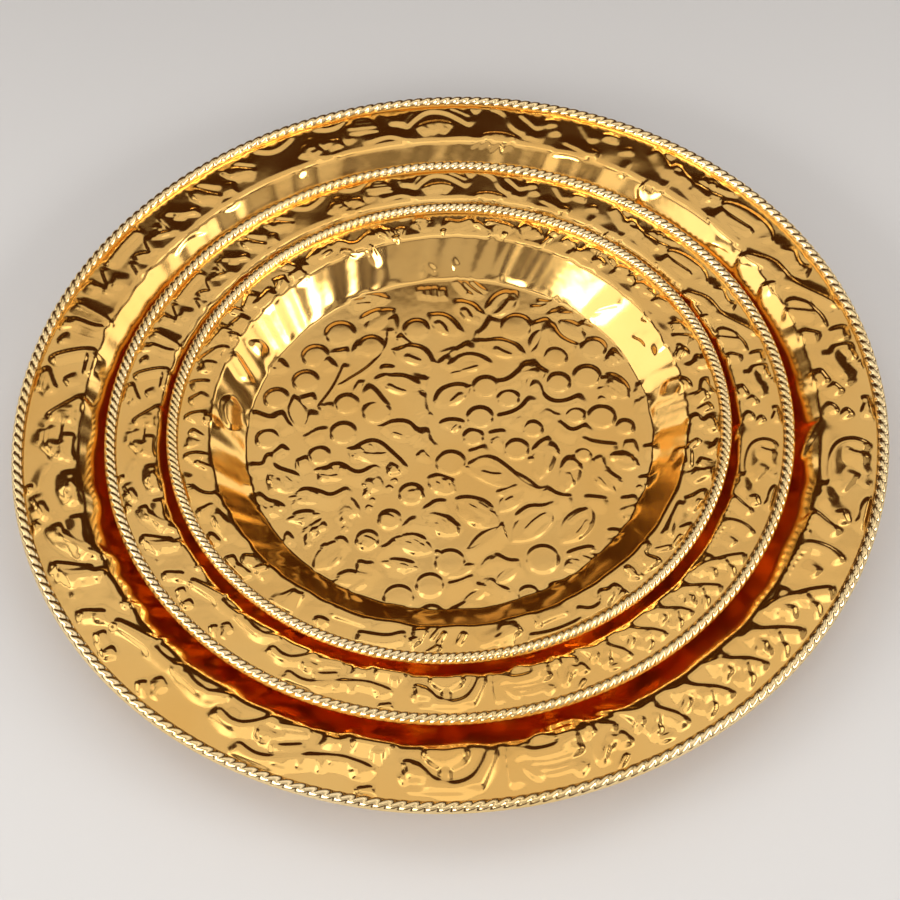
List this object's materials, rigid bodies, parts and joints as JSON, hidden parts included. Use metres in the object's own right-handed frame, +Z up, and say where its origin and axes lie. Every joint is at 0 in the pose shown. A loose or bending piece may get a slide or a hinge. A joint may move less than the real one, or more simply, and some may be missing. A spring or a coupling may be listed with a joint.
{
  "type": "puja thali",
  "caption": "Nested set of round embossed offering plates in gold-coloured pressed metal, each with a flat floor, sloping wall, wide rim and wired rope edge.",
  "frame": {"origin": "centre of the footprint, on the surface that the set stands on", "axes": "+Z up along the plates' common axis; the picture is taken from -Y, with +X to its right"},
  "size_m": [0.3556, 0.3556, 0.0285],
  "materials": {
    "gold_sheet": "polished gold-coloured pressed sheet",
    "gold_edge": "polished gold-coloured rolled edge",
    "wire": "drawn wire"
  },
  "bodies": {
    "large_plate": {"large_shell": "gold_sheet", "large_rope_edge": "gold_edge", "large_edge_wire": "wire"},
    "medium_plate": {"medium_shell": "gold_sheet", "medium_rope_edge": "gold_edge", "medium_edge_wire": "wire"},
    "small_plate": {"small_shell": "gold_sheet", "small_rope_edge": "gold_edge", "small_edge_wire": "wire"}
  },
  "joints": [
    {"name": "medium_lift", "type": "slide", "parent": "large_plate", "child": "medium_plate", "axis": [0, 0, 1], "range_m": [0, 0.06]},
    {"name": "small_lift", "type": "slide", "parent": "medium_plate", "child": "small_plate", "axis": [0, 0, 1], "range_m": [0, 0.05]}
  ]
}
